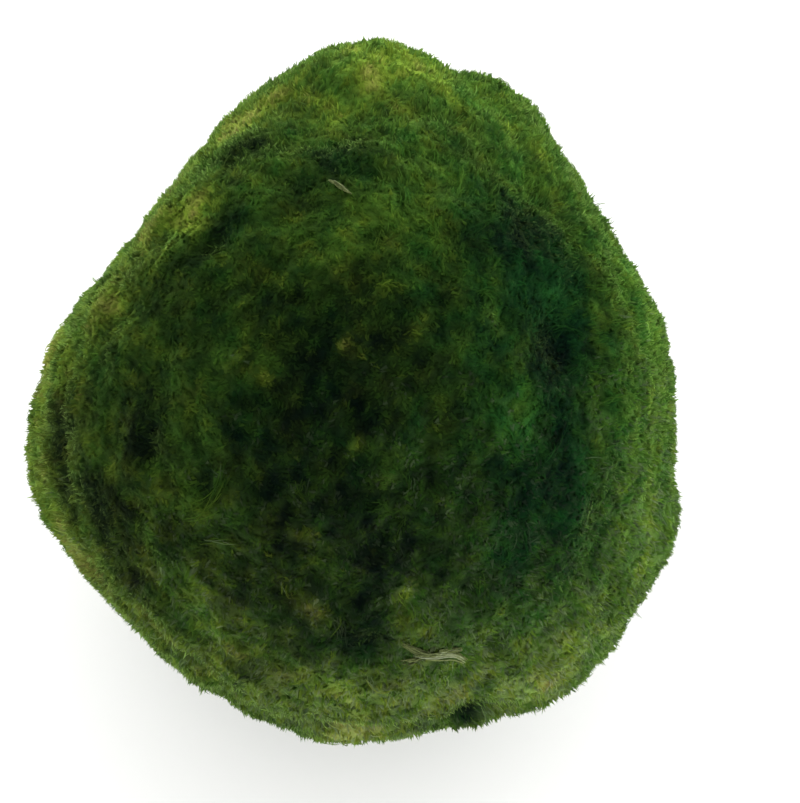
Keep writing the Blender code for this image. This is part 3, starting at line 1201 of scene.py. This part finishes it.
# Locks that show one by one: the pixels that each follows, how many hairs it has, how far they
# spread in pixels, and their shifts of hue and light
wisps = {
    "leftRimHair": ([(42, 457), (49, 467), (57, 477)], 4, 2, 0.1, 0.12),
    "leftRimHairAbove": ([(36, 440), (44, 448), (52, 452)], 5, 2, 0.06, 0.1),
    "swirl": ([(222, 438), (224, 466), (214, 497), (196, 511), (176, 517)], 14, 9, 0, 0.04),
    "swirlInner": ([(219, 460), (218, 482), (208, 500)], 6, 6, 0, 0.03),
    "paleStrand": ([(192, 543), (212, 541), (238, 545)], 10, 4, 0.04, 0.12),
    "greyStrand": ([(281, 584), (286, 596), (295, 606)], 7, 3, 0.16, 0.12),
    "topTuft": ([(376, 289), (391, 285), (409, 288)], 9, 6, 0.06, 0.08),
    "oliveWisp": ([(408, 330), (420, 334), (436, 330)], 7, 6, 0.04, 0.06),
    "rightTuft": ([(470, 298), (485, 293), (502, 300)], 10, 8, 0.02, 0.06),
    "lowVeeLeft": ([(503, 423), (513, 448), (527, 464)], 10, 5, -0.02, 0.06),
    "lowVeeRight": ([(574, 418), (558, 446), (540, 466)], 10, 5, -0.02, 0.06),
    "brightStroke": ([(530, 518), (529, 536), (531, 560)], 9, 3, -0.02, 0.16),
    "brightStrokeBeside": ([(520, 530), (514, 552), (510, 566)], 6, 4, 0, 0.08),
    "farStroke": ([(458, 198), (460, 180), (464, 160)], 12, 6, 0.02, 0.08),
    "farStrokeShort": ([(451, 172), (452, 162), (455, 152)], 7, 5, 0.04, 0.08),
    "farCrestStroke": ([(436, 240), (434, 220), (438, 198)], 14, 10, 0.02, 0.06),
    "farLeftStroke": ([(404, 204), (402, 182), (395, 160)], 10, 6, 0.02, 0.06),
    "farRightStroke": ([(491, 196), (497, 184), (499, 172)], 8, 6, 0.02, 0.08),
    "hollowArc": ([(466, 230), (484, 224), (500, 210)], 10, 5, 0, 0.08),
    "hollowTuft": ([(512, 246), (518, 256), (528, 266)], 10, 9, 0.02, 0.1),
    "hollowEdge": ([(536, 200), (543, 186), (540, 170)], 9, 7, 0.02, 0.08),
    "farHair": ([(462, 100), (466, 110), (472, 122)], 4, 2, 0, 0.1),
    "crestTuft": ([(384, 250), (380, 234), (376, 222)], 12, 9, 0.04, 0.08),
    "deepHollowArch": ([(540, 336), (562, 329), (588, 336)], 9, 6, 0.04, 0.1),
    "deepHollowEdge": ([(566, 376), (580, 364), (586, 350)], 8, 6, 0.02, 0.1),
    "rightHair": ([(634, 314), (638, 306), (641, 297)], 7, 4, 0.02, 0.1),
    "rightStroke": ([(612, 322), (626, 320), (642, 323)], 9, 4, 0.04, 0.08),
    "rightStrokeAbove": ([(586, 282), (600, 288), (616, 284)], 8, 5, 0.02, 0.05),
    "rightStrokeBelow": ([(586, 368), (600, 374), (608, 384)], 8, 5, 0.02, 0.06),
    "rightLongStroke": ([(600, 404), (622, 396), (650, 392)], 10, 5, 0.02, 0.05),
    "rightUpStroke": ([(579, 290), (581, 278), (580, 266)], 8, 5, 0.02, 0.08),
    "nearEdge": ([(336, 612), (342, 632), (338, 656)], 10, 6, 0.1, 0.08),
    "nearYellow": ([(404, 586), (405, 602), (412, 618)], 7, 7, 0, 0.04),
    "nearFan": ([(420, 612), (430, 626), (446, 634)], 8, 9, 0.02, 0.06),
    "foldYellow": ([(364, 680), (384, 690), (398, 684)], 10, 6, 0.08, 0.08),
    "crownStrokeA": ([(299, 470), (304, 490), (310, 508)], 9, 7, 0.06, 0.06),
    "crownStrokeB": ([(404, 470), (410, 486), (406, 500)], 9, 7, 0.06, 0.06),
    "crownStrokeC": ([(368, 520), (376, 510), (390, 508)], 8, 6, 0, 0.06),
    "crownStrokeD": ([(398, 546), (402, 530), (408, 516)], 8, 6, 0.04, 0.06),
    "crownHairA": ([(355, 351), (362, 356), (368, 358)], 6, 3, 0.24, 0.2),
    "crownHairB": ([(369, 361), (376, 366), (383, 367)], 5, 3, 0.2, 0.14),
    "crownHairC": ([(344, 396), (344, 403), (346, 410)], 6, 3, 0.12, 0.16),
    "crownHairD": ([(396, 376), (402, 376), (409, 378)], 4, 2, 0.12, 0.12),
    "crownHairE": ([(300, 391), (301, 396), (303, 401)], 4, 2, 0.12, 0.1),
    "nearHairA": ([(262, 550), (268, 554), (274, 557)], 6, 3, 0.24, 0.18),
    "nearHairB": ([(499, 618), (503, 615), (507, 613)], 5, 3, 0.14, 0.14),
    "nearHairC": ([(340, 568), (344, 572), (350, 574)], 6, 3, 0.26, 0.18),
    "leftMidStroke": ([(158, 404), (162, 416), (170, 424)], 8, 5, 0.08, 0.08),
    "leftHighStroke": ([(258, 328), (266, 338), (280, 340)], 8, 6, 0.08, 0.08),
    "leftHighTuft": ([(300, 342), (306, 334), (300, 326)], 7, 5, 0.08, 0.08),
}

# Tufts that stand out past the outline: the pixels of the foot and of the tip, and the hairs
spikes = {
    "top": ((391, 50), (390, 34), 16),
    "topLeft": ((347, 52), (339, 41), 10),
    "topRight": ((405, 52), (404, 41), 8),
    "farLeft": ((283, 78), (278, 69), 8),
    "slopeLeft": ((190, 168), (180, 161), 8),
    "leftHigh": ((94, 281), (85, 273), 7),
    "leftUpper": ((62, 352), (52, 347), 8),
    "left": ((40, 436), (27, 434), 12),
    "leftLower": ((44, 470), (30, 469), 10),
    "cornerLeft": ((62, 518), (47, 516), 12),
    "cornerLeftLow": ((66, 534), (50, 528), 10),
    "cornerNear": ((84, 566), (73, 563), 9),
    "rightFar": ((596, 208), (606, 203), 9),
    "rightFarLow": ((604, 222), (614, 218), 9),
    "rightFarLower": ((612, 240), (622, 234), 10),
    "right": ((668, 424), (680, 426), 10),
    "rightLow": ((668, 502), (680, 497), 9),
    "rightLower": ((668, 530), (680, 534), 10),
    "nearRight": ((636, 612), (643, 621), 8),
    "nearRightLow": ((600, 652), (609, 662), 8),
    "near": ((540, 700), (545, 710), 8),
}
# rootPaintedShade here is painted shade on the roots
hairLook = {"stations": 6, "width": 0.00007, "roundness": 0.25, "rootPaintedShade": 0.15}
wispLook = {
    **hairLook,
    "lifts": (-0.0003, -0.00004, 0.00002, 0.00004, 0.00001, -0.00010),  # above the surface
    "liftSpread": 0.00006,
    "length": (0.25, 0.6),  # shares of its wisp's line that a hair follows
    "waver": 0.4,  # pixels
    "shown": 0.5,  # share of a wisp's own light that its hairs get
    "hueSpread": 0.02,  # between hairs
    "lightSpread": 0.02,
    "tilt": 0.06,
    "seed": 13,
}
spikeLook = {
    **hairLook,
    "rooted": 0.0003,  # depth of a spike's foot under the surface
    "footSpread": 0.00016,
    "length": (0.6, 1.0),  # of single hairs, as shares of the spike
    "tipSpread": 0.00010,
    "bow": 0.00008,
    "yellower": 0.02,
    "hueSpread": 0.03,
    "lightSpread": 0.03,
    "tilt": 0.15,
    "seed": 14,
}


# Each hair follows a stretch of its wisp's smooth line, beside it by one distance at its start
# and by another at its end, and rises from under the nap to just over it.
def wispThreads():
    random = np.random.default_rng(wispLook["seed"])
    along = np.linspace(0, 1, wispLook["stations"])
    rows = []
    for pixels, hairs, spread, *rest in wisps.values():
        length = random.uniform(*wispLook["length"], hairs)[:, None]
        start = random.uniform(0, 1, hairs)[:, None] * (1 - length)
        place = (start + length * along) * (lineSteps - 1)
        first, last = random.normal(0, spread / 2, (2, hairs, 1))
        off = first + (last - first) * along + random.normal(0, wispLook["waver"], place.shape)
        rows.append(besideLine(lineThrough(pixels), place, off))
    ways = np.concatenate(rows)
    total = len(ways)
    shifts = [(hue, wispLook["shown"] * light) for line, hairs, spread, hue, light in wisps.values()]
    shifts = np.repeat(shifts, [hairs for line, hairs, *rest in wisps.values()], axis=0).T
    lift = np.array(wispLook["lifts"]) + random.normal(0, wispLook["liftSpread"], (total, 1))
    centre = ways * (rowRadius(ways) + lift)[..., None]
    places = ways[:, wispLook["stations"] // 2]
    normals = surfaceNormals(places, broadStep)
    return spinOver(centre, places, normals, shifts, wispLook, random, softened(places))


# Each hair of a spike is a line from near the foot, under the surface, to near the tip, which
# stands beside the foot by as many pixels as in the picture.
def spikeThreads():
    random = np.random.default_rng(spikeLook["seed"])
    right, up, back = cameraAxes()
    pixels = np.array([(foot, tip) for foot, tip, hairs in spikes.values()], float)
    feet = pixelDirections(pixels[:, 0])
    step = (pixels[:, 1] - pixels[:, 0]) * pixelSize
    reach = step[:, :1] * right - step[:, 1:] * up
    owner = np.repeat(np.arange(len(feet)), [hairs for foot, tip, hairs in spikes.values()])
    total = len(owner)
    foot = feet[owner] * (surfaceRadius(feet) - spikeLook["rooted"])[owner][:, None]
    foot = foot + random.normal(0, spikeLook["footSpread"], (total, 3))
    length = random.uniform(*spikeLook["length"], total)[:, None]
    tip = foot + reach[owner] * length + random.normal(0, spikeLook["tipSpread"], (total, 3))
    share = np.linspace(0, 1, spikeLook["stations"])[None, :, None]
    bow = random.normal(0, spikeLook["bow"], (total, 1, 3)) * np.sin(pi * share)
    centre = foot[:, None] * (1 - share) + tip[:, None] * share + bow
    normals = surfaceNormals(feet, broadStep)[owner]
    return spinOver(centre, feet[owner], normals, (spikeLook["yellower"], 0), spikeLook, random)


threadFinish = threadMaterial()
makeThreads("nap", napThreads(), nap["pieces"], threadFinish)
makeThreads("strands", strandThreads(), 1, threadFinish)
makeThreads("wisps", wispThreads(), 1, threadFinish)
makeThreads("spikes", spikeThreads(), 1, threadFinish)

# Bits of dry plant caught in the moss. Each branch is the pixels that it follows, its width in
# pixels at the start, the middle and the end, how many fibres it is made of, and how much paler
# it is than the bit. Pale is 0 for mud and 1 for bleached straw, and lift is how far the fibres
# lie over the surface.
dryBits = {
    "forked_fibre": {
        "branches": [
            ([(412, 656), (432, 658), (446, 658), (458, 660), (468, 666)], (7, 9, 6), 30, 0.0),
            ([(438, 653), (450, 655), (465, 652)], (4, 6, 4), 9, -0.06),
            ([(436, 657), (417, 652), (400, 645)], (6, 8, 9), 13, -0.20),
            ([(434, 659), (416, 661), (400, 664)], (6, 7, 8), 12, -0.20),
        ],
        "pale": 0.44,
        "lift": -0.00004,
    },
    "straw_stalk": {
        "branches": [([(328, 180), (335, 184), (343, 190), (352, 196)], (3, 5, 4), 9, 0.0)],
        "pale": 0.14,
        "lift": 0.00002,
    },
}
dryLook = {
    "stations": 14,
    "sides": 5,
    "width": 0.000075,  # of a fibre
    "widths": (0.7, 1.3),  # of single fibres, as shares of that
    "knots": (0.85, 1.15),
    "starts": (0, 0.25),  # shares of the branch at which fibres start and end
    "ends": (0.75, 1.0),
    "beside": 0.5,  # how far fibres spread, in half widths of the branch
    "waver": 0.15,
    "wavers": (4, 9),  # radians of waver along a fibre
    "phase": 6,  # radians up to which waver and bow may start
    "heights": 0.00005,
    "bow": 0.00006,
    "bowed": 5,  # radians of bow along a fibre
    "bluntness": 10,  # how square its ends are
    "leastEnd": 0.05,
    "outerDarker": 0.25,
    "paleSpread": 0.12,
    "seed": 14,
    "grain": (5200.0, 3.0),  # scale and detail of the noise
    "mottle": 0.3,
    "bump": (0.3, 0.00008),  # strength and height
    "roughness": 0.8,
    "gloss": 0.15,
    "colours": [
        (0.0, (0.040, 0.050, 0.015)),
        (0.3, (0.105, 0.130, 0.038)),
        (0.6, (0.225, 0.250, 0.175)),
        (1.0, (0.460, 0.470, 0.380)),
    ],
}


# Dry plant: a ramp from mud to bleached straw at the fibre's paleness, shifted by noise, with
# the same noise as bump.
def dryMaterial():
    finish = Finish(bpy.data.materials.new("dryFibre"))
    grain = finish.noise(finish.node("ShaderNodeTexCoord", output="Object"), *dryLook["grain"])
    told = finish.node("ShaderNodeAttribute", {"attribute_name": "pale"}, output="Fac")
    pale = told + grain * dryLook["mottle"] - dryLook["mottle"] / 2
    skin = {
        "Base Color": finish.ramp(pale, dryLook["colours"]),
        "Roughness": dryLook["roughness"],
        "Specular IOR Level": dryLook["gloss"],
        "Normal": finish.bump(grain, *dryLook["bump"]),
    }
    return finish.shown(finish.principled(skin))


# Closed tubes: rings round rows of centre points, joined by quads, and a point at either end.
# Radius gives each ring point its own distance from the centre.
def tubes(centre, radius, sides):
    count, stations = centre.shape[:2]
    along = unit(np.gradient(centre, axis=1))
    first = unit(alongSurface(unit(centre), along))
    second = np.cross(along, first)
    angles = (np.arange(sides) * 2 * pi / sides)[:, None]
    ring = first[:, :, None] * np.cos(angles) + second[:, :, None] * np.sin(angles)
    points = centre[:, :, None] + ring * radius[..., None]
    thick = radius.mean(axis=-1)[..., None]
    root = centre[:, :1] - along[:, :1] * thick[:, :1]
    tip = centre[:, -1:] + along[:, -1:] * thick[:, -1:]
    points = np.concatenate([points.reshape(count, -1, 3), root, tip], axis=1)

    index = np.arange(stations * sides).reshape(stations, sides)
    turned = np.roll(index, -1, axis=1)
    quads = np.stack([index[:-1], turned[:-1], turned[1:], index[1:]], axis=-1)
    base = np.full(sides, stations * sides)
    rootCap = np.stack([turned[0], index[0], base], axis=-1)
    tipCap = np.stack([index[-1], turned[-1], base + 1], axis=-1)
    corners = np.concatenate([quads.ravel(), rootCap.ravel(), tipCap.ravel()])
    corners = (np.arange(count)[:, None] * points.shape[1] + corners[None, :]).ravel()
    sizes = np.tile([4] * (len(quads) * sides) + [3] * 2 * sides, count)
    return points, corners, sizes


# Each fibre of a branch runs beside the branch's smooth line by its own share of the half width,
# wavers a little, starts and ends at its own places, and lies at its own height. The outer ones
# are less pale.
def branchFibres(pixels, widths, fibres, paler, lift, random):
    half = smoothLine(np.array(widths)[:, None], lineSteps)[:, 0] / 2
    one = (fibres, 1)
    share = np.linspace(0, 1, dryLook["stations"])
    start = random.uniform(*dryLook["starts"], one)
    end = random.uniform(*dryLook["ends"], one)
    place = (start + (end - start) * share) * (lineSteps - 1)
    phase = random.uniform(0, dryLook["phase"], one)
    waver = dryLook["waver"] * np.sin(phase + random.uniform(*dryLook["wavers"], one) * share)
    beside = random.normal(0, dryLook["beside"], one)
    off = (beside + waver) * half[stepBefore(place)]
    ways = besideLine(lineThrough(pixels), place, off)
    radius = rowRadius(ways) + lift + random.uniform(-1, 1, one) * dryLook["heights"]
    phase = random.uniform(0, dryLook["phase"], one)
    radius += dryLook["bow"] * np.sin(phase + dryLook["bowed"] * share)
    ends = 1 - (2 * share - 1) ** dryLook["bluntness"]
    ends = np.sqrt(np.clip(ends, dryLook["leastEnd"], 1))
    thick = random.uniform(*dryLook["widths"], one) * ends * dryLook["width"] / 2
    knots = random.uniform(*dryLook["knots"], (fibres, len(share), dryLook["sides"]))
    spread = random.uniform(-1, 1, fibres) * dryLook["paleSpread"]
    pale = paler - dryLook["outerDarker"] * np.abs(beside[:, 0]) + spread
    return ways * radius[..., None], thick[..., None] * knots, pale


def makeDryBits():
    random = np.random.default_rng(dryLook["seed"])
    material = dryMaterial()
    for name, bit in dryBits.items():
        rows = [branchFibres(*branch, bit["lift"], random) for branch in bit["branches"]]
        centre = np.concatenate([row[0] for row in rows])
        radius = np.concatenate([row[1] for row in rows])
        points, corners, sizes = tubes(centre, radius, dryLook["sides"])
        made = arrayMesh(name, points.reshape(-1, 3) + middle, corners, sizes)
        pale = bit["pale"] + np.concatenate([row[2] for row in rows])
        layer = made.data.attributes.new("pale", "FLOAT", "POINT")
        layer.data.foreach_set("value", np.repeat(pale, points.shape[1]).astype(np.float32))
        made.data.materials.append(material)
        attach(made, "root")
    print("dry bits: done,", len(dryBits), "pieces")


makeDryBits()

# The floor and the light: bright all round near level, dim overhead
stage = {
    "floorSize": 1.4,
    "floorColour": (0.86, 0.86, 0.85, 1),
    "floorRoughness": 0.8,
    "floorGloss": 0.1,
    "brightLight": 7.2,
    "dimLight": 0.7,
    "darkWay": (-102, 76),  # heading and rise of the dim part's middle
    "brightTo": 0.22,  # cosines of the angles from there between which the light falls off
    "dimFrom": 0.50,
}


def makeFloor():
    size = stage["floorSize"] / 2
    points = np.array([(-size, -size, 0), (size, -size, 0), (size, size, 0), (-size, size, 0)])
    floor = arrayMesh("floor", points, np.arange(4), np.array([4]))
    finish = Finish(bpy.data.materials.new("floor"))
    skin = {
        "Base Color": stage["floorColour"],
        "Roughness": stage["floorRoughness"],
        "Specular IOR Level": stage["floorGloss"],
    }
    floor.data.materials.append(finish.shown(finish.principled(skin)))


# Sky strength = dim + (bright - dim) * a ramp on the cosine of the angle from the dim middle.
def makeLight():
    world = bpy.data.worlds.new("studio")
    bpy.context.scene.world = world
    finish = Finish(world)
    place = finish.node("ShaderNodeTexCoord", output="Generated")
    shade = tuple(headingAndRise(*stage["darkWay"]))
    dot = {"operation": "DOT_PRODUCT"}
    facing = finish.node("ShaderNodeVectorMath", dot, {0: place, 1: shade}, output="Value")
    bright, dim = stage["brightLight"], stage["dimLight"]
    share = finish.ramp(facing, [(stage["brightTo"], (1, 1, 1)), (stage["dimFrom"], (0, 0, 0))])
    strength = share * (bright - dim) + dim
    light = finish.node("ShaderNodeBackground", {}, {"Color": (1, 1, 1, 1), "Strength": strength})
    finish.node("ShaderNodeOutputWorld", {}, {0: light})
    bpy.context.scene.view_settings.view_transform = "Standard"


makeFloor()
makeLight()
print("stage: done")
